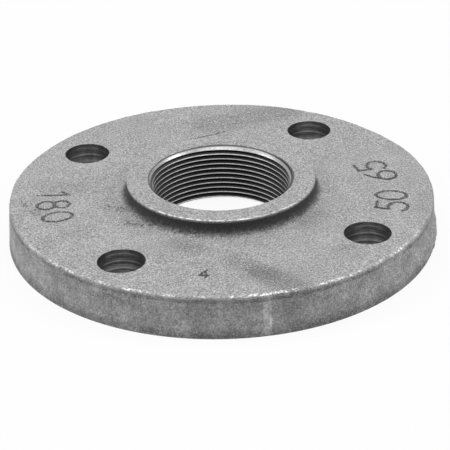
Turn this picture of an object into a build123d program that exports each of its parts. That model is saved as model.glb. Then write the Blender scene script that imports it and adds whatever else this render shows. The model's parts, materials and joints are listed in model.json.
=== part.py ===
from build123d import *
from math import radians, tan
import os

# Reducing companion flange: one iron casting that screws onto a pipe and bolts to a larger flange.
# Millimetres. The origin is the centre of the mating face, and +Z runs up the bore to the hub.
# The bolt holes straddle the X and Y axes.

# Driving dimensions of the plate, whose diameter is that of the mating face
flange_diameter = 177.8
plate_thickness = 17.4625
rim_draft_angle = 3.75
rim_edge_radius = 1.2
mating_edge_chamfer = 0.4

# Driving dimensions of the hub, which stands on the plate
hub_diameter = 78.2
hub_projection = 7.1375
hub_root_radius = 4.5
hub_edge_radius = 1.4

# Driving dimensions of the bore, drilled for a 2 inch taper pipe thread
tap_drill_diameter = 55.5625
countersink_lip = 2.7
countersink_angle = 90
bore_back_chamfer = 0.8

# Driving dimensions of the bolt holes, set in from the rim of the mating face
bolt_hole_diameter = 19.05
bolt_edge_distance = 19.05
bolt_count = 4

# Worked out from the driving dimensions
flange_radius = flange_diameter / 2
rim_top_radius = flange_radius - plate_thickness * tan(radians(rim_draft_angle))
hub_radius = hub_diameter / 2
length_through_hub = plate_thickness + hub_projection
tap_drill_radius = tap_drill_diameter / 2
bolt_circle_radius = flange_radius - bolt_edge_distance
first_bolt_angle = 180 / bolt_count

# The hub's root fillet and edge rounding stay within the wall that stands above the plate
hub_root_fillet = min(hub_root_radius, 0.6 * hub_projection)
hub_edge_fillet = min(hub_edge_radius, 0.3 * hub_projection)

with BuildPart() as flange:
    # Cast blank: half section of the plate and hub, turned about the bore
    with BuildSketch(Plane.XZ) as half_section:
        with BuildLine():
            Polyline(
                (0, 0),
                (flange_radius, 0),
                (rim_top_radius, plate_thickness),
                (hub_radius, plate_thickness),
                (hub_radius, length_through_hub),
                (0, length_through_hub),
                close=True,
            )
        make_face()
    revolve(axis=Axis.Z)

    # Cast edges: the hub flows into the plate, and its nose and the rim are softened.
    # The faced mating side has a small break where the cut meets the rim.
    mating_rings, plate_rings, nose_rings = flange.edges().filter_by(GeomType.CIRCLE).group_by(Axis.Z)
    hub_root, rim_top = plate_rings.sort_by(SortBy.RADIUS)
    fillet(hub_root, hub_root_fillet)
    fillet(nose_rings, hub_edge_fillet)
    fillet(rim_top, rim_edge_radius)
    chamfer(mating_rings, mating_edge_chamfer)

    # Bore: drilled through from the hub, with the countersink that leads the pipe in
    with Locations((0, 0, length_through_hub)):
        CounterSinkHole(
            radius=tap_drill_radius,
            counter_sink_radius=tap_drill_radius + countersink_lip,
            counter_sink_angle=countersink_angle,
        )
    face_rings = flange.edges().filter_by(GeomType.CIRCLE).group_by(Axis.Z)[0]
    bore_back = face_rings.sort_by(SortBy.RADIUS)[0]
    chamfer(bore_back, bore_back_chamfer)

    # Bolt holes, drilled square through the plate
    with Locations((0, 0, plate_thickness)):
        with PolarLocations(bolt_circle_radius, bolt_count, start_angle=first_bolt_angle):
            Hole(bolt_hole_diameter / 2)

flange.part.label = "flange"

os.makedirs("parts", exist_ok=True)
export_step(flange.part, "parts/flange.step")
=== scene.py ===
import json
import math

import bmesh
import bpy
from mathutils import Matrix, Vector
from mathutils.kdtree import KDTree


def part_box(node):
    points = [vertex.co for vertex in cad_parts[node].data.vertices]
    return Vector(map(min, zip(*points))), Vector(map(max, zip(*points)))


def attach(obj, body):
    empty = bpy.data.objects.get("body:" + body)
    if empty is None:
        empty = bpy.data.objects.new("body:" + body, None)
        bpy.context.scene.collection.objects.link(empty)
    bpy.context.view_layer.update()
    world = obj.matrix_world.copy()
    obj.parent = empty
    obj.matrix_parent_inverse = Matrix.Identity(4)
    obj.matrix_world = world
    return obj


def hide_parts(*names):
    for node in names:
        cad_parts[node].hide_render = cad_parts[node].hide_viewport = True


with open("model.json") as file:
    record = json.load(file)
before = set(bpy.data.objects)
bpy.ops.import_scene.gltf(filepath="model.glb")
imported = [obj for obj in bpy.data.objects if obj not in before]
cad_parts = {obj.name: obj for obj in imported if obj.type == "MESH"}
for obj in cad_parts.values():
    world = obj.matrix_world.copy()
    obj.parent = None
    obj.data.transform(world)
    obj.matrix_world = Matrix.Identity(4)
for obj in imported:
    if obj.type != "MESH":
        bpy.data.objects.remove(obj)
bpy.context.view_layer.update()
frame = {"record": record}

MM = 0.001
SHARP_ANGLE = math.radians(32)

# Sizes that the frame gives, in millimetres
mounts = {mount["name"]: mount for mount in frame["record"]["mounts"]}
lowest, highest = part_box("flange")
RIM_RADIUS = highest.x / MM
TOP = highest.z / MM
PLATE = mounts["bolting_face"]["pos_m"][2] / MM
BOLT_CIRCLE = mounts["bolt_circle"]["dims"]["pcd_mm"] / 2
BOLT_HOLE = mounts["bolt_circle"]["dims"]["hole_r_mm"]
BOLT_COUNT = mounts["bolt_circle"]["dims"]["count"]

# The cast skin's section
RIM_TOP = RIM_RADIUS - PLATE * math.tan(math.radians(3.75))
RIM_EDGE = 1.0
HUB_RADIUS = 39.1
HUB_ROOT = 4.3
HUB_EDGE = 1.0
CORE_RADIUS = 20.0
SHOWN_SPACING = 1.15
HIDDEN_SPACING = 7.0

# The taper pipe thread: radii are taken at the hub's face and shrink with depth
PITCH = 2.2087
TAPER = 1 / 32
CREST_RADIUS = 28.4
CREST_FLAT = 0.05
CREST_ROUND = 0.1
ROOT_FLAT = 0.25
THREAD_FLANK = (PITCH - CREST_FLAT - 2 * CREST_ROUND - ROOT_FLAT) / 2
THREAD_DEPTH = THREAD_FLANK / math.tan(math.radians(30)) + CREST_ROUND / 2
FIRST_TURN = 0.05
MOUTH_RADIUS = 30.6
BACK_CHAMFER = 0.8

# Raised numerals on the plate: each one's figure, azimuth, middle radius, height and bead scale
BEAD_RADIUS = 0.42
BEAD_SUNK = 0.1
NUMERALS = [
    ("1", 169.4, 69.5, 13.0, 1.0),
    ("8", 176.8, 69.5, 13.0, 1.0),
    ("0", 185.6, 69.5, 13.0, 1.0),
    ("5", -24.3, 71.4, 13.0, 1.0),
    ("0", -16.6, 70.4, 13.0, 1.0),
    ("6", -1.2, 68.2, 13.0, 1.0),
    ("5", 6.7, 66.6, 13.0, 1.0),
    ("4", -106.6, 69.6, 6.0, 0.7),
]

# Darker patches on the plate: both ends, half width, feather and strength
DARK_PATCHES = [
    ((-7, -59), (3, -72), 1.0, 6.0, 0.28),
    ((1, -71), (11, -83), 2.0, 8.0, 0.4),
    ((9, 66), (44, 72), 3.0, 10.0, 0.27),
    ((-70, 22), (-58, 16), 2.0, 8.0, 0.14),
    ((-67, -22), (-74, -30), 2.0, 8.0, 0.1),
    ((-27, -41), (-20, -46), 1.0, 7.0, 0.22),
    ((27, -36), (34, -30), 1.0, 7.0, 0.18),
    ((34, -61), (40, -59), 0.5, 4.0, 0.16),
    ((76, -35), (80, -25), 1.0, 6.0, 0.16),
]

# Clusters of pits: both ends, half width and feather
PITS = [
    ((-47, -3), (-40, -7), 1.0, 3.5),
    ((-42, -18), (-34, -24), 0.5, 3.0),
    ((-81, 9), (-77, -2), 0.8, 2.5),
]
CREASE = ((-6.5, 51.6), (12.5, 56.6))
FIN_AZIMUTH = math.radians(-29)
# The side where the edges get wear and a painted highlight, and where the rim's flash is strongest
WORN_GLINT_AZIMUTH = math.radians(-97)


class Socket:
    """An output of a node tree whose arithmetic adds Math nodes."""

    def __init__(self, graph, socket):
        self.graph = graph
        self.socket = socket

    def __add__(self, other):
        return self.graph.math("ADD", self, other)

    def __radd__(self, other):
        return self.graph.math("ADD", other, self)

    def __sub__(self, other):
        return self.graph.math("SUBTRACT", self, other)

    def __rsub__(self, other):
        return self.graph.math("SUBTRACT", other, self)

    def __mul__(self, other):
        return self.graph.math("MULTIPLY", self, other)

    def __rmul__(self, other):
        return self.graph.math("MULTIPLY", other, self)

    def __truediv__(self, other):
        return self.graph.math("DIVIDE", self, other)


class Graph:
    """A node tree that is written as expressions."""

    def __init__(self, tree):
        self.tree = tree

    def node(self, kind, settings=None, inputs=None):
        """Adds a node, sets it up, then feeds its sockets with values or links. Returns the node."""
        node = self.tree.nodes.new(kind)
        for name, value in (settings or {}).items():
            if name == "stops":
                self.set_stops(node.color_ramp, value)
            else:
                setattr(node, name, value)
        for key, value in (inputs or {}).items():
            for one in value if isinstance(value, list) else [value]:
                self.feed(node.inputs[key], one)
        return node

    def set_stops(self, ramp, stops):
        while len(ramp.elements) < len(stops):
            ramp.elements.new(1)
        for element, (place, tone) in zip(ramp.elements, stops):
            element.position = place
            element.color = (tone, tone, tone, 1)

    def feed(self, socket, value):
        if isinstance(value, Socket):
            self.tree.links.new(value.socket, socket)
        else:
            socket.default_value = value

    def out(self, kind, settings=None, inputs=None, output=0):
        """The named or numbered output of a new node."""
        return Socket(self, self.node(kind, settings, inputs).outputs[output])

    def math(self, operation, *values):
        return self.out("ShaderNodeMath", {"operation": operation}, dict(enumerate(values)))

    def clamp(self, value):
        return self.out("ShaderNodeClamp", None, {"Value": value})

    def smooth(self, value, low, high):
        """0 below low and 1 above high, with a soft step between."""
        ends = {"Value": value, "From Min": low, "From Max": high}
        return self.out("ShaderNodeMapRange", {"interpolation_type": "SMOOTHSTEP"}, ends)

    def band(self, value, low, high, feather):
        """1 between low and high, and 0 beyond the feather on each side."""
        return self.smooth(value, low - feather, low) * (1 - self.smooth(value, high, high + feather))

    def noise(self, place, size_mm, detail=2.0, roughness=0.5, distortion=0.0):
        """Noise whose grains are about size_mm across, from 0 to 1."""
        return self.out(
            "ShaderNodeTexNoise",
            None,
            {"Vector": place, "Scale": 1 / (size_mm * MM), "Detail": detail,
             "Roughness": roughness, "Distortion": distortion},
        )

    def xyz(self, vector):
        parts = self.node("ShaderNodeSeparateXYZ", None, {0: vector})
        return [Socket(self, output) for output in parts.outputs]

    def length(self, x, y):
        return self.math("SQRT", x * x + y * y)

    def ramp(self, value, stops):
        return self.out("ShaderNodeValToRGB", {"stops": stops}, {"Fac": value})

    def near_line(self, x, y, ends, half_width, feather):
        """1 within half_width of a line on the plate, in millimetres, falling to 0 over the feather."""
        (ax, ay), (bx, by) = [(px * MM, py * MM) for px, py in ends]
        dx, dy = bx - ax, by - ay
        squared = dx * dx + dy * dy
        along = self.clamp((x - ax) * (dx / squared) + (y - ay) * (dy / squared))
        away = self.length(x - ax - along * dx, y - ay - along * dy)
        return 1 - self.smooth(away, half_width * MM, (half_width + feather) * MM)

    def towards(self, x, y, azimuth, widest, narrowest):
        """1 within narrowest degrees of an azimuth, falling to 0 at widest degrees from it."""
        facing = (x * math.cos(azimuth) + y * math.sin(azimuth)) / self.length(x, y)
        return self.smooth(facing, math.cos(math.radians(widest)), math.cos(math.radians(narrowest)))


def between(share, first, second):
    """The value that lies this share of the way from first to second."""
    return share * (second - first) + first


class Tree(Graph):
    """A geometry tree with named inputs. It ends in Realize Instances and Set Material."""

    def __init__(self, name):
        super().__init__(bpy.data.node_groups.new(name, "GeometryNodeTree"))
        self.tree.interface.new_socket("Geometry", in_out="OUTPUT", socket_type="NodeSocketGeometry")
        self.tree.interface.new_socket("Geometry", in_out="INPUT", socket_type="NodeSocketGeometry")
        self.start = self.tree.nodes.new("NodeGroupInput")

    def ask(self, name, kind="Float"):
        """A named input of the tree."""
        self.tree.interface.new_socket(name, in_out="INPUT", socket_type="NodeSocket" + kind)
        return Socket(self, self.start.outputs[name])

    def given(self):
        return Socket(self, self.start.outputs["Geometry"])

    def place(self):
        return self.out("GeometryNodeInputPosition")

    def finish(self, geometry, material, *patches):
        """Ends the tree. Each patch is a selection of faces and the finish that they get instead."""
        geometry = self.out("GeometryNodeRealizeInstances", None, {"Geometry": geometry})
        for chosen, finish in [(True, material), *patches]:
            geometry = self.out(
                "GeometryNodeSetMaterial",
                None,
                {"Geometry": geometry, "Selection": chosen, "Material": finish},
            )
        end = self.tree.nodes.new("NodeGroupOutput")
        self.feed(end.inputs["Geometry"], geometry)
        return self.tree


def new_object(name, data):
    made = bpy.data.objects.new(name, data)
    bpy.context.scene.collection.objects.link(made)
    return made


def settled(host):
    """Replaces an object's mesh and modifiers with the plain mesh that they make."""
    bpy.context.view_layer.update()
    evaluated = host.evaluated_get(bpy.context.evaluated_depsgraph_get())
    mesh = bpy.data.meshes.new_from_object(evaluated)
    if mesh.materials and mesh.materials[0] is None:
        mesh.materials.pop(index=0)
    host.modifiers.clear()
    host.data = mesh
    return host


def grown(name, tree, values, start=None):
    """The plain mesh object that a geometry tree makes with these values."""
    host = new_object(name, start or bpy.data.meshes.new(name))
    modifier = host.modifiers.new(name, "NODES")
    modifier.node_group = tree
    for item in tree.interface.items_tree:
        if item.item_type == "SOCKET" and item.in_out == "INPUT" and item.name in values:
            modifier[item.identifier] = values[item.name]
    return settled(host)


# Finishes


def new_material(name):
    material = bpy.data.materials.new(name)
    material.use_nodes = True
    material.node_tree.nodes.clear()
    graph = Graph(material.node_tree)
    place = graph.out("ShaderNodeTexCoord", None, None, "Object")
    return material, graph, place


def surface(graph, tone, roughness, metallic, height, bump, depth_mm):
    """A grey surface. Height is the relief that the bump shows, depth_mm deep."""
    normal = graph.out(
        "ShaderNodeBump", None, {"Strength": bump, "Distance": depth_mm * MM, "Height": height}
    )
    shader = graph.out(
        "ShaderNodeBsdfPrincipled",
        None,
        {"Base Color": tone, "Roughness": roughness, "Metallic": metallic, "Normal": normal},
    )
    graph.node("ShaderNodeOutputMaterial", None, {"Surface": shader})


def grey(tone):
    return (tone, tone, tone, 1)


def cast_skin():
    """Sand-cast grey iron: sparkling grain, soft mottling, pits, darker patches, edges lightened by wear
    and a painted highlight, and painted shade on the rim, the hub and the numerals.
    """
    material, g, place = new_material("cast_skin")
    x, y, z = g.xyz(place)
    radius = g.length(x, y)

    grain = g.noise(place, 0.8, 2, 0.75)
    fine = g.noise(place, 0.42, 1, 0.5)
    mottle = g.noise(place, 11, 3, 0.6)
    blotch = g.noise(place, 2.6, 3, 0.7)
    tone = between(g.smooth(mottle, 0.35, 0.7), 0.285, 0.33)
    side = g.smooth(radius, (RIM_TOP - 0.9) * MM, (RIM_TOP - 0.1) * MM)
    tone = tone * (1 + (g.smooth(grain, 0.3, 0.7) - 0.5) * (1 - side * 0.3))

    # The plate: darker patches, pits and a crease in the skin
    for start, end, half_width, feather, strength in DARK_PATCHES:
        tone = tone * (1 - g.near_line(x, y, (start, end), half_width, feather) * strength)
    on_top = g.smooth(z, (PLATE - 1) * MM, (PLATE - 0.5) * MM)
    hollows = 1 - g.smooth(g.noise(place, 1.3, 2, 0.6), 0.4, 0.5)
    pitted = 0
    for start, end, half_width, feather in PITS:
        pitted = pitted + g.near_line(x, y, (start, end), half_width, feather)
    broken = g.smooth(g.noise(place, 2.2, 1), 0.3, 0.42)
    crease = g.near_line(x, y, CREASE, 0.25, 0.6) * broken
    hollows = g.clamp(pitted * hollows + crease) * on_top
    tone = between(hollows * 0.85, tone, 0.05)

    # The rim: painted shade under its edge and just above the floor, blotched, with one pale streak
    rim_shade_and_blotches = g.band(z, 11.5 * MM, 15.5 * MM, 3 * MM) * 0.1 + (1 - g.smooth(z, 1 * MM, 5 * MM)) * 0.4
    rim_shade_and_blotches = rim_shade_and_blotches + (0.5 - g.smooth(blotch, 0.3, 0.7)) * 0.3
    rim_shade_and_blotches = rim_shade_and_blotches + (0.5 - g.smooth(mottle, 0.3, 0.7)) * 0.3
    # Painted shadow in a ragged band just under the rim's edge
    lip_shadow = g.band(z, (PLATE - 2.4) * MM, (PLATE - 1.5) * MM, 0.6 * MM)
    rim_shade_and_blotches = rim_shade_and_blotches + lip_shadow * g.smooth(g.noise(place, 6, 2), 0.3, 0.5) * 0.35
    streak = (1 - g.smooth(g.math("ABSOLUTE", x), 0.9 * MM, 2.2 * MM)) * g.smooth(-1 * y, 0, 1 * MM)
    tone = tone * (1 - side * rim_shade_and_blotches) * (1 + side * streak * 0.5)

    # The hub: dirt and painted shade on its wall and in its root
    ragged = radius + (g.noise(place, 1.5, 3, 0.7) - 0.5) * (2.5 * MM)
    grime_and_shade = (1 - g.smooth(ragged, 39.2 * MM, 42.4 * MM)) * (1 - g.smooth(z, 22.8 * MM, 24.1 * MM))
    outline = g.out("ShaderNodeAttribute", {"attribute_name": "outline"}, None, "Fac")
    tone = between(grime_and_shade * 0.95, tone, 0.012)
    # Painted shade on the numerals' beads and round their feet
    tone = between(g.smooth(outline, 0.15, 0.75) * 0.9, tone, 0.015)

    # Specks of bare iron and scale
    bright = g.smooth(fine, 0.61, 0.69) * (1 - grime_and_shade) * (1 - side * 0.5)
    dark = 1 - g.smooth(g.noise(place, 0.6, 1, 0.5), 0.28, 0.36)
    tone = between(dark * 0.6, tone, 0.08)
    tone = between(bright * 0.7, tone, 0.85)

    # Edges of the rim and of the hub: wear, lightened on one side only as a painted highlight
    rim_edge = g.band(radius, (RIM_TOP - 0.9) * MM, (RIM_TOP - 0.2) * MM, 0.4 * MM)
    rim_edge = rim_edge * g.smooth(z, (PLATE - 1.0) * MM, (PLATE - 0.3) * MM)
    rim_edge = rim_edge * g.smooth(g.noise(place, 9, 3, 0.75), 0.4, 0.62)
    rim_edge = rim_edge * g.towards(x, y, WORN_GLINT_AZIMUTH, 75, 50)
    hub_edge = g.band(radius, 38.6 * MM, 38.9 * MM, 0.2 * MM) * g.smooth(z, 23.6 * MM, 24.1 * MM)
    hub_edge = hub_edge * g.smooth(g.noise(place, 2, 3, 0.7), 0.42, 0.58)
    hub_edge = hub_edge * g.towards(x, y, WORN_GLINT_AZIMUTH, 65, 40)
    wear_and_glint = g.clamp(rim_edge * g.smooth(g.noise(place, 0.9, 2, 0.6), 0.45, 0.55) + hub_edge * 0.8)
    tone = between(wear_and_glint * 0.85, tone, 0.85)

    roughness = between(mottle, 0.6, 0.75) - wear_and_glint * 0.25 - bright * 0.2 + grime_and_shade * 0.2
    metallic = 0.15 + bright * 0.5 + wear_and_glint * 0.4 - grime_and_shade * 0.15
    height = grain + blotch * 0.8 - hollows * 1.5
    surface(g, tone, roughness, metallic, height, 0.8, 0.3)
    return material


def cut_thread():
    """Cut iron: bright crests bare from wear, oiled flanks, and roots near black from oil and dirt and
    from painted shade.
    """
    material, g, place = new_material("cut_thread")
    x, y, z = g.xyz(place)
    crest = z * TAPER + (CREST_RADIUS - TOP * TAPER) * MM
    groove = (g.length(x, y) - crest) / (THREAD_DEPTH * MM)
    # Painted shade deep in the groove, with oil and dirt: darker from crest to root
    tone = g.ramp(groove, [(0.0, 0.7), (0.05, 0.6), (0.12, 0.06), (0.7, 0.04), (0.88, 0.003)])
    chatter = g.noise(place, 0.5, 2, 0.6)
    tone = tone * between(g.smooth(chatter, 0.3, 0.7), 0.7, 1.3)
    shine = 1 - g.smooth(groove, 0.1, 0.35)
    surface(g, tone, 0.42 - shine * 0.14, 0.35 + shine * 0.6, chatter, 0.3, 0.04)
    return material


def chamfered_mouth():
    """The thread's lead-in: dark scale at its lip, then bright iron that the tap has rubbed."""
    material, g, place = new_material("chamfered_mouth")
    x, y, z = g.xyz(place)
    grain = g.noise(place, 0.7, 2, 0.7)
    rubbed = 1 - g.smooth(z + (grain - 0.5) * (0.6 * MM), (TOP - 1.0) * MM, (TOP - 0.5) * MM)
    tone = between(rubbed, 0.07, 0.32) * between(g.smooth(grain, 0.3, 0.7), 0.7, 1.3)
    surface(g, tone, 0.5 - rubbed * 0.22, 0.3 + rubbed * 0.65, grain, 0.35, 0.1)
    return material


def drilled_wall():
    """The drilled bolt holes: dull dark iron with rings from the drill."""
    material, g, place = new_material("drilled_wall")
    x, y, z = g.xyz(place)
    scored = g.math("SINE", z * (2 * math.pi / (0.9 * MM)) + g.noise(place, 5, 2) * 12)
    stained = g.noise(place, 4, 3, 0.6)
    tone = between(g.smooth(stained, 0.35, 0.7), 0.15, 0.24) * (1 + scored * 0.12)
    surface(g, tone, 0.38, 0.9, scored, 0.3, 0.04)
    return material


def faced_back():
    """The faced mating side: fine rings left by the turning tool."""
    material, g, place = new_material("faced_back")
    x, y, z = g.xyz(place)
    turns = g.math("SINE", g.length(x, y) * (2 * math.pi / (0.7 * MM)))
    stained = g.noise(place, 14, 3, 0.6)
    tone = between(g.smooth(stained, 0.3, 0.7), 0.28, 0.4) * (1 + turns * 0.08)
    surface(g, tone, between(stained, 0.34, 0.5), 0.8, turns, 0.35, 0.03)
    return material


# The casting


def arc(centre, radius, start, end, steps, tall=1.0):
    """Points along an arc, in degrees, ends included. Tall stretches it upwards."""
    points = []
    for step in range(steps + 1):
        angle = math.radians(start + (end - start) * step / steps)
        rise = radius * tall * math.sin(angle)
        points.append((centre[0] + radius * math.cos(angle), centre[1] + rise))
    return points


def divided(points):
    """A closed outline, finely divided where it shows and coarsely on the mating face and core."""
    finer = []
    for (x1, y1), (x2, y2) in zip(points, points[1:] + points[:1]):
        hidden = y1 == y2 == 0 or x1 == x2 == CORE_RADIUS
        spacing = HIDDEN_SPACING if hidden else SHOWN_SPACING
        count = max(1, round(math.hypot(x2 - x1, y2 - y1) / spacing))
        finer += [(x1 + (x2 - x1) * i / count, y1 + (y2 - y1) * i / count) for i in range(count)]
    return finer


def casting_section():
    """Half section of the rough casting, from the faced side up round the rim, plate and hub."""
    points = [(CORE_RADIUS, 0), (RIM_RADIUS, 0)]
    points += arc((RIM_TOP - RIM_EDGE, PLATE - RIM_EDGE), RIM_EDGE, 4, 90, 4)
    points += arc((HUB_RADIUS + HUB_ROOT, PLATE + HUB_ROOT), HUB_ROOT, -90, -180, 8)
    points += arc((HUB_RADIUS - HUB_EDGE, TOP - HUB_EDGE), HUB_EDGE, 0, 90, 4)
    points += [(CORE_RADIUS, TOP)]
    return points


def casting_tree(skin, faced):
    """Turns a section about the bore and roughens what the sand left."""
    t = Tree("casting")
    rail = t.ask("Rail Radius")
    segments = t.ask("Segments", "Int")
    swell = t.ask("Swell")
    ripple = t.ask("Ripple")
    sand = t.ask("Sand")
    lip = t.ask("Rim Lip")
    fin = t.ask("Parting Fin")

    circle = t.out("GeometryNodeCurvePrimitiveCircle", None, {"Resolution": segments, "Radius": rail})
    circle = t.out("GeometryNodeSetCurveNormal", {"mode": "Z_UP"}, {"Curve": circle})
    section = t.out("GeometryNodeMeshToCurve", None, {"Mesh": t.given()})
    blank = t.out("GeometryNodeCurveToMesh", None, {"Curve": circle, "Profile Curve": section})
    blank = t.out("GeometryNodeFlipFaces", None, {"Mesh": blank})

    place = t.place()
    normal = t.out("GeometryNodeInputNormal", None, None, "Normal")
    x, y, z = t.xyz(place)
    radius = t.length(x, y)
    cast = t.smooth(z, 0.3 * MM, 1.2 * MM)
    wave = (t.noise(place, 26, 1) - 0.5) * swell + (t.noise(place, 4.5, 2, 0.6) - 0.5) * ripple
    wave = wave + (t.noise(place, 1.7, 2, 0.7) - 0.5) * sand
    wave = wave - t.smooth(z, (TOP - 0.6) * MM, (TOP - 0.1) * MM) * sand
    wave = t.math("MINIMUM", wave, RIM_RADIUS * MM - radius)

    # Flash along the rim's upper edge, and a ragged fin at one place on the mould's parting line
    rim_edge = t.smooth(radius, (RIM_RADIUS - 3.0) * MM, (RIM_RADIUS - 1.6) * MM)
    rim_edge = rim_edge * t.smooth(z, (PLATE - 1.8) * MM, (PLATE - 0.7) * MM)
    rim_edge = rim_edge * between(t.towards(x, y, WORN_GLINT_AZIMUTH, 80, 50), 0.2, 1)
    flash = (t.noise(place, 2.2, 3, 0.7) - 0.42) * rim_edge * lip
    parting = t.towards(x, y, FIN_AZIMUTH, 14, 7) * t.band(z, 3 * MM, 9 * MM, 2 * MM)
    ridge = t.noise(place, 2.5, 2, 0.7) * parting * t.smooth(radius, 85 * MM, 87 * MM) * fin

    offset = t.out(
        "ShaderNodeVectorMath",
        {"operation": "SCALE"},
        {0: normal, "Scale": (wave + flash + ridge) * cast},
    )
    rough = t.out("GeometryNodeSetPosition", None, {"Geometry": blank, "Offset": offset})
    mating_side = t.math("LESS_THAN", t.xyz(t.place())[2], 0.02 * MM)
    return t.finish(rough, skin, (mating_side, faced))


def make_casting(skin, faced):
    outline = divided(casting_section())
    mesh = bpy.data.meshes.new("section")
    count = len(outline)
    mesh.from_pydata(
        [((r - CORE_RADIUS) * MM, -z * MM, 0) for r, z in outline],
        [(i, (i + 1) % count) for i in range(count)],
        [],
    )
    sizes = {
        "Rail Radius": CORE_RADIUS * MM,
        "Segments": 540,
        "Swell": 0.7 * MM,
        "Ripple": 0.3 * MM,
        "Sand": 0.28 * MM,
        "Rim Lip": 1.8 * MM,
        "Parting Fin": 2.0 * MM,
    }
    return grown("casting", casting_tree(skin, faced), sizes, mesh)


# Raised numerals: strokes in a box one unit high. A stroke that ends where it starts is a ring.

NUMERAL_STROKES = {
    "0": [arc((0.3, 0.5), 0.3, 0, 360, 28, 1.6)],
    "1": [[(0.1, 0.76), (0.3, 1.0), (0.3, 0.0)]],
    "4": [[(0.42, 0.0), (0.42, 1.0), (0.0, 0.3), (0.6, 0.3)]],
    "5": [[(0.55, 1.0), (0.12, 1.0), (0.08, 0.56)] + arc((0.29, 0.3), 0.31, 125, -150, 16)],
    "6": [[(0.46, 1.0), (0.2, 0.74)] + arc((0.3, 0.3), 0.3, 165, 540, 22)],
    "8": [arc((0.3, 0.75), 0.24, 0, 360, 20), arc((0.3, 0.26), 0.28, 0, 360, 22)],
}
NUMERAL_MIDDLE = (0.3, 0.5)


def numeral_lines():
    """Every stroke of every numeral: its points on the plate, read from the rim, and bead scale."""
    lines = []
    for figure, azimuth, radius, height, bead in NUMERALS:
        angle = math.radians(azimuth)
        outward = Vector((math.cos(angle), math.sin(angle), 0))
        rightward = Vector((-math.sin(angle), math.cos(angle), 0))
        for stroke in NUMERAL_STROKES[figure]:
            points = [
                (outward * (radius - (v - NUMERAL_MIDDLE[1]) * height)
                 + rightward * ((u - NUMERAL_MIDDLE[0]) * height)) * MM
                for u, v in stroke
            ]
            lines.append((points, bead))
    return lines


def numeral_tree(skin):
    """Sweeps a round bead along strokes, joins what crosses, and lets it waver as sand does."""
    t = Tree("numerals")
    bead, waver = t.ask("Bead Radius"), t.ask("Waver")
    ring = t.out("GeometryNodeCurvePrimitiveCircle", None, {"Resolution": 10, "Radius": bead})
    scale = t.out("GeometryNodeInputNamedAttribute", {"data_type": "FLOAT"}, {"Name": "bead"})
    strokes = t.out("GeometryNodeMeshToCurve", None, {"Mesh": t.given()})
    strokes = t.out("GeometryNodeSetCurveNormal", {"mode": "Z_UP"}, {"Curve": strokes})
    beads = t.out(
        "GeometryNodeCurveToMesh",
        None,
        {"Curve": strokes, "Profile Curve": ring, "Scale": scale, "Fill Caps": True},
    )
    joined = t.out(
        "GeometryNodeMeshBoolean",
        {"operation": "UNION", "solver": "EXACT"},
        {"Mesh 2": beads, "Self Intersection": True},
        "Mesh",
    )
    drift = t.out("ShaderNodeTexNoise", None, {"Vector": t.place(), "Scale": 500.0}, "Color")
    drift = t.out("ShaderNodeVectorMath", {"operation": "SUBTRACT"}, {0: drift, 1: (0.5, 0.5, 0.5)})
    drift = t.out("ShaderNodeVectorMath", {"operation": "SCALE"}, {0: drift, "Scale": waver})
    wavering = t.out("GeometryNodeSetPosition", None, {"Geometry": joined, "Offset": drift})
    return t.finish(wavering, skin)


def make_numerals(skin):
    vertices, edges, beads = [], [], []
    for line, bead in numeral_lines():
        closed = (line[0] - line[-1]).length < 0.01 * MM
        points = line[:-1] if closed else line
        first = len(vertices)
        vertices += [point + Vector((0, 0, (PLATE - BEAD_SUNK) * MM)) for point in points]
        beads += [bead] * len(points)
        edges += [(i, i + 1) for i in range(first, len(vertices) - 1)]
        if closed:
            edges.append((len(vertices) - 1, first))
    mesh = bpy.data.meshes.new("numeral_strokes")
    mesh.from_pydata(vertices, edges, [])
    mesh.attributes.new("bead", "FLOAT", "POINT").data.foreach_set("value", beads)
    sizes = {"Bead Radius": BEAD_RADIUS * MM, "Waver": 0.25 * MM}
    return grown("numerals", numeral_tree(skin), sizes, mesh)


def paint_numeral_shade(mesh):
    """Stores painted shade for the numerals: how near each point of the skin is to the foot of a
    numeral's bead.
    """
    samples = []
    for line, bead in numeral_lines():
        for start, end in zip(line, line[1:]):
            steps = max(1, math.ceil((end - start).length / (0.2 * MM)))
            samples += [start.lerp(end, step / steps) for step in range(steps + 1)]
    tree = KDTree(len(samples))
    for number, point in enumerate(samples):
        tree.insert(point, number)
    tree.balance()

    shades = []
    for vertex in mesh.vertices:
        shade = 0
        if vertex.co.z > (PLATE - 1) * MM:
            away = tree.find((vertex.co.x, vertex.co.y, 0))[2] / MM - BEAD_RADIUS
            # Painted shade: strongest at the foot of the bead, weaker towards its middle, none 0.3 mm
            # beyond
            shade = 1 + away if away < 0 else max(0, 1 - away / 0.3)
        shades.append(shade)
    mesh.attributes.new("outline", "FLOAT", "POINT").data.foreach_set("value", shades)


# Cutters


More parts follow.
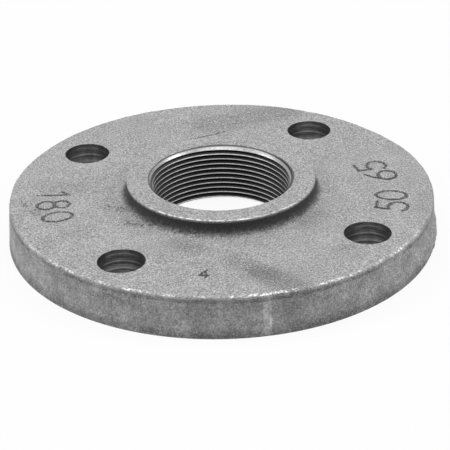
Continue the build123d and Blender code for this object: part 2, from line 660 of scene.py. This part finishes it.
def thread_cutter(finish):
    """The thread and its bore as one closed tap. Rows climb the helix, and turns share an edge."""
    steps = 144
    turns = math.ceil(TOP / PITCH) + 2
    rows = [
        (0, CREST_ROUND / 2),
        (CREST_ROUND, 0),
        (CREST_ROUND + CREST_FLAT, 0),
        (2 * CREST_ROUND + CREST_FLAT, CREST_ROUND / 2),
        (2 * CREST_ROUND + CREST_FLAT + THREAD_FLANK, THREAD_DEPTH),
        (PITCH - THREAD_FLANK, THREAD_DEPTH),
    ]
    row_count = len(rows)
    start = TOP - (turns - FIRST_TURN) * PITCH

    def vertex(step, row):
        rise, out = rows[row]
        angle = 2 * math.pi * step / steps
        z = start + PITCH * step / steps + rise
        radius = CREST_RADIUS - (TOP - z) * TAPER + out
        return (radius * math.cos(angle) * MM, radius * math.sin(angle) * MM, z * MM)

    last = turns * steps
    vertices = [vertex(step, row) for step in range(last + steps + 1) for row in range(row_count)]

    def index(step, row):
        return (step + steps) * row_count if row == row_count else step * row_count + row

    faces = [
        (index(step, row), index(step + 1, row), index(step + 1, row + 1), index(step, row + 1))
        for step in range(last)
        for row in range(row_count)
    ]
    mesh = bpy.data.meshes.new("thread_cutter")
    mesh.from_pydata(vertices, [], faces)
    shell = bmesh.new()
    shell.from_mesh(mesh)
    bmesh.ops.delete(shell, geom=[v for v in shell.verts if not v.link_faces], context="VERTS")
    bmesh.ops.holes_fill(shell, edges=[e for e in shell.edges if e.is_boundary], sides=0)
    bmesh.ops.recalc_face_normals(shell, faces=shell.faces)
    shell.to_mesh(mesh)
    shell.free()
    mesh.materials.append(finish)
    return new_object("thread_cutter", mesh)


def cone_tree(finish):
    """A truncated cone on the bore's axis."""
    t = Tree("cone")
    low, high = t.ask("Low Radius"), t.ask("High Radius")
    base, depth = t.ask("Base"), t.ask("Depth")
    cone = t.out(
        "GeometryNodeMeshCone",
        None,
        {"Vertices": 192, "Radius Top": high, "Radius Bottom": low, "Depth": depth},
        "Mesh",
    )
    lift = t.out("ShaderNodeCombineXYZ", None, {"Z": base})
    return t.finish(t.out("GeometryNodeTransform", None, {"Geometry": cone, "Translation": lift}), finish)


def hole_tree(finish):
    """Drills round the bolt circle, with shallow rings where each drill paused."""
    t = Tree("bolt_holes")
    circle, radius, count = t.ask("Bolt Circle"), t.ask("Hole Radius"), t.ask("Count", "Int")
    depth, ring_gap, ring_depth = t.ask("Depth"), t.ask("Ring Gap"), t.ask("Ring Depth")
    drill = t.out(
        "GeometryNodeMeshCylinder",
        None,
        {"Vertices": 80, "Side Segments": 84, "Radius": radius, "Depth": depth},
        "Mesh",
    )
    x, y, z = t.xyz(t.place())
    ring = t.math("POWER", t.math("ABSOLUTE", t.math("COSINE", z * math.pi / ring_gap)), 14)
    widen = ring * ring_depth / radius
    offset = t.out("ShaderNodeCombineXYZ", None, {"X": x * widen, "Y": y * widen})
    drill = t.out("GeometryNodeSetPosition", None, {"Geometry": drill, "Offset": offset})
    points = t.out("GeometryNodeMeshCircle", None, {"Vertices": count, "Radius": circle})
    drills = t.out("GeometryNodeInstanceOnPoints", None, {"Points": points, "Instance": drill})
    turn = t.out("ShaderNodeCombineXYZ", None, {"Z": math.pi / BOLT_COUNT})
    lift = t.out("ShaderNodeCombineXYZ", None, {"Z": depth / 4})
    drills = t.out(
        "GeometryNodeTransform", None, {"Geometry": drills, "Rotation": turn, "Translation": lift}
    )
    return t.finish(drills, finish)


def make_cutters():
    mouth = chamfered_mouth()
    reach = 6 * MM
    countersink = {
        "Low Radius": MOUTH_RADIUS * MM - reach,
        "High Radius": MOUTH_RADIUS * MM + reach,
        "Base": TOP * MM - reach,
        "Depth": 2 * reach,
    }
    back_radius = (CREST_RADIUS - TOP * TAPER + BACK_CHAMFER) * MM
    back_chamfer = {
        "Low Radius": back_radius + reach,
        "High Radius": back_radius - reach,
        "Base": -reach,
        "Depth": 2 * reach,
    }
    drills = {
        "Bolt Circle": BOLT_CIRCLE * MM,
        "Hole Radius": BOLT_HOLE * MM,
        "Count": BOLT_COUNT,
        "Depth": 2 * PLATE * MM,
        "Ring Gap": 3.2 * MM,
        "Ring Depth": 0.22 * MM,
    }
    cone = cone_tree(mouth)
    return [
        thread_cutter(cut_thread()),
        grown("countersink", cone, countersink),
        grown("back_chamfer", cone, back_chamfer),
        grown("bolt_holes", hole_tree(drilled_wall()), drills),
    ]


def drop_slivers(mesh):
    """Removes what the cutters leave loose, so that only the largest connected piece stays."""
    shell = bmesh.new()
    shell.from_mesh(mesh)
    unseen = set(shell.verts)
    pieces = []
    while unseen:
        piece = [unseen.pop()]
        for vertex in piece:
            for edge in vertex.link_edges:
                neighbour = edge.other_vert(vertex)
                if neighbour in unseen:
                    unseen.remove(neighbour)
                    piece.append(neighbour)
        pieces.append(piece)
    pieces.sort(key=len)
    slivers = [vertex for piece in pieces[:-1] for vertex in piece]
    bmesh.ops.delete(shell, geom=slivers, context="VERTS")
    shell.to_mesh(mesh)
    shell.free()


def machined(name, blank, added, cutters):
    """The blank with solids joined to it and then others cut away. The solids are used up."""
    host = new_object(name, blank.data)
    for operation, solids in (("UNION", added), ("DIFFERENCE", cutters)):
        for solid in solids:
            step = host.modifiers.new(solid.name, "BOOLEAN")
            step.operation = operation
            step.solver = "MANIFOLD"
            step.material_mode = "TRANSFER"
            step.object = solid
    settled(host)
    drop_slivers(host.data)
    for solid in [blank, *added, *cutters]:
        bpy.data.objects.remove(solid)
    return host


def make_flange():
    skin = cast_skin()
    casting = make_casting(skin, faced_back())
    flange = machined("flange_casting", casting, [make_numerals(skin)], make_cutters())
    flange.data.shade_smooth()
    flange.data.set_sharp_from_angle(angle=SHARP_ANGLE)
    paint_numeral_shade(flange.data)
    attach(flange, "root")
    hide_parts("flange")


make_flange()


# The studio

CAMERA_DISTANCE = 786.65 * MM
CAMERA_AZIMUTH = math.radians(-10.644)
CAMERA_ELEVATION = math.radians(28.078)
CAMERA_ROLL = math.radians(-1.377)
PHOTO_SIDE = 450
FOCAL_PIXELS = 1875.37
PRINCIPAL_X = 222.11
PRINCIPAL_Y = 228.46


def make_camera():
    data = bpy.data.cameras.new("camera")
    data.sensor_width = 36
    data.lens = FOCAL_PIXELS / PHOTO_SIDE * data.sensor_width
    data.shift_x = (PHOTO_SIDE / 2 - PRINCIPAL_X) / PHOTO_SIDE
    data.shift_y = (PRINCIPAL_Y - PHOTO_SIDE / 2) / PHOTO_SIDE
    data.clip_start = 0.01
    camera = new_object("camera", data)
    turn = (
        Matrix.Rotation(CAMERA_AZIMUTH, 4, "Z")
        @ Matrix.Rotation(math.pi / 2 - CAMERA_ELEVATION, 4, "X")
    )
    place = turn @ Vector((0, 0, CAMERA_DISTANCE))
    camera.matrix_world = Matrix.Translation(place) @ turn @ Matrix.Rotation(CAMERA_ROLL, 4, "Z")
    bpy.context.scene.camera = camera


def soft_light(name, azimuth, elevation, distance, width, height, brightness):
    """An area lamp that faces the object. Azimuth 0 is the camera's side, and 90 its right."""
    data = bpy.data.lights.new(name, "AREA")
    data.shape = "RECTANGLE"
    data.size = width
    data.size_y = height
    data.energy = brightness * math.pi * width * height
    lamp = new_object(name, data)
    turn = (
        Matrix.Rotation(CAMERA_AZIMUTH + math.radians(azimuth), 4, "Z")
        @ Matrix.Rotation(math.pi / 2 - math.radians(elevation), 4, "X")
    )
    lamp.matrix_world = Matrix.Translation(turn @ Vector((0, 0, distance))) @ turn


def seen_share(g, share):
    """How much of its own white a backdrop shows to the camera and to reflections."""
    path = g.node("ShaderNodeLightPath")
    seen = [Socket(g, path.outputs[name]) for name in
            ("Is Camera Ray", "Is Glossy Ray", "Is Transmission Ray")]
    return g.clamp(seen[0] + seen[1] + seen[2]) * share


def make_floor():
    mesh = bpy.data.meshes.new("floor")
    half = 3
    below = -0.05 * MM
    corners = [(-half, -half, below), (half, -half, below), (half, half, below), (-half, half, below)]
    mesh.from_pydata(corners, [], [(0, 1, 2, 3)])
    floor = new_object("floor", mesh)
    material = bpy.data.materials.new("floor")
    material.use_nodes = True
    material.node_tree.nodes.clear()
    g = Graph(material.node_tree)
    pale = g.out("ShaderNodeBsdfDiffuse", None, {"Color": grey(0.85)})
    white = g.out("ShaderNodeEmission", None, {"Color": grey(1), "Strength": 1})
    both = g.out("ShaderNodeMixShader", None, {0: seen_share(g, 0.9), 1: pale, 2: white})
    g.node("ShaderNodeOutputMaterial", None, {"Surface": both})
    mesh.materials.append(material)


def make_world():
    world = bpy.data.worlds.new("studio")
    world.use_nodes = True
    world.node_tree.nodes.clear()
    g = Graph(world.node_tree)
    room = g.out("ShaderNodeBackground", None, {"Color": grey(1), "Strength": 0.15})
    white = g.out("ShaderNodeBackground", None, {"Color": grey(1), "Strength": 1})
    both = g.out("ShaderNodeMixShader", None, {0: seen_share(g, 1), 1: room, 2: white})
    g.node("ShaderNodeOutputWorld", None, {"Surface": both})
    bpy.context.scene.world = world


make_camera()
make_floor()
make_world()
soft_light("overhead", 180, 80, 1.2, 1.2, 1.2, 1.8)
soft_light("front", 0, 60, 1.2, 0.9, 0.2, 4.5)
soft_light("left", -88, 36, 1.2, 0.6, 0.6, 4.5)
soft_light("right", 88, 36, 1.2, 0.6, 0.6, 4.2)
bpy.context.scene.view_settings.view_transform = "Standard"
